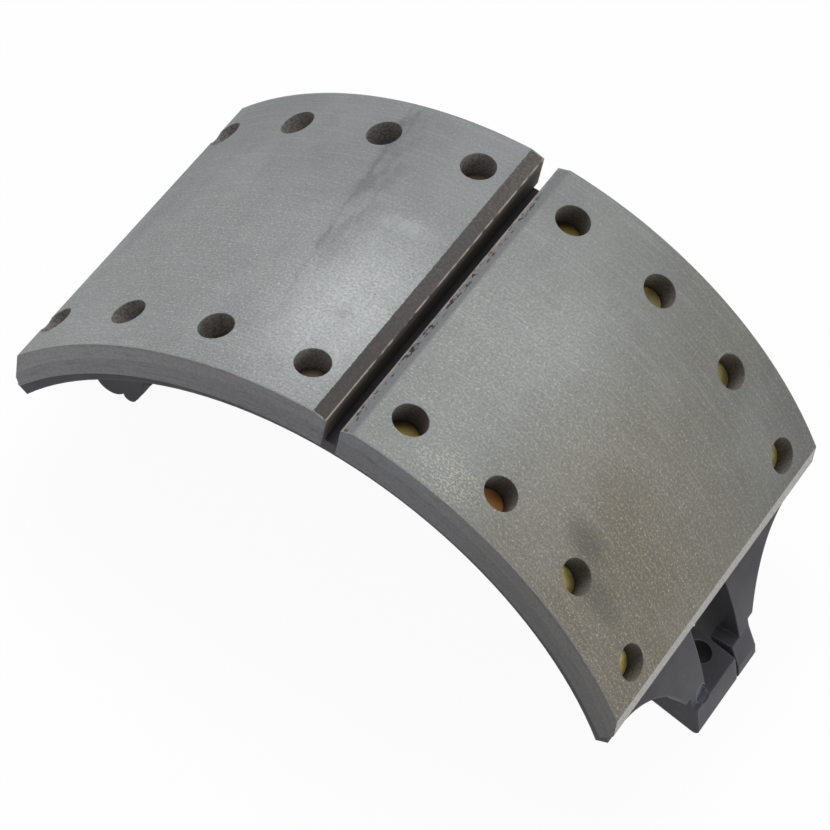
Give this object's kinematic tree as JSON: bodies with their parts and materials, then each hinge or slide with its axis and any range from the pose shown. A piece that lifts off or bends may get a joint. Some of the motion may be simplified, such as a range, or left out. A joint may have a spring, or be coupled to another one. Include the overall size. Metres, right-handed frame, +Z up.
{
  "type": "brake shoe",
  "caption": "Curved drum brake shoe: bevelled friction linings riveted to a cast table on parallel webs, with open pin seats at its ends.",
  "frame": {"origin": "on the anchor pin's axis, at the middle of the lining's width", "axes": "+Z up, from the pin level to the gap between the linings, +Y along the pin and the drum axis, -X towards the cam end and +X out past the anchor pin"},
  "size_m": [0.3831, 0.203, 0.1719],
  "materials": {
    "casting_paint": "satin dark paint on the cast surface",
    "grey_lining": "matte ground friction compound, cool grey with fine pale flecks",
    "olive_lining": "matte ground friction compound, grey turning olive brown",
    "rivet_brass": "dull yellow metal"
  },
  "bodies": {
    "root": {"shoe_casting": "casting_paint", "cam_end_lining": "grey_lining", "anchor_end_lining": "olive_lining", "rivet_near_1": "rivet_brass", "rivet_near_2": "rivet_brass", "rivet_near_3": "rivet_brass", "rivet_near_4": "rivet_brass", "rivet_near_5": "rivet_brass", "rivet_near_6": "rivet_brass", "rivet_near_7": "rivet_brass", "rivet_near_8": "rivet_brass", "rivet_far_1": "rivet_brass", "rivet_far_2": "rivet_brass", "rivet_far_3": "rivet_brass", "rivet_far_4": "rivet_brass", "rivet_far_5": "rivet_brass", "rivet_far_6": "rivet_brass", "rivet_far_7": "rivet_brass", "rivet_far_8": "rivet_brass"}
  },
  "joints": []
}
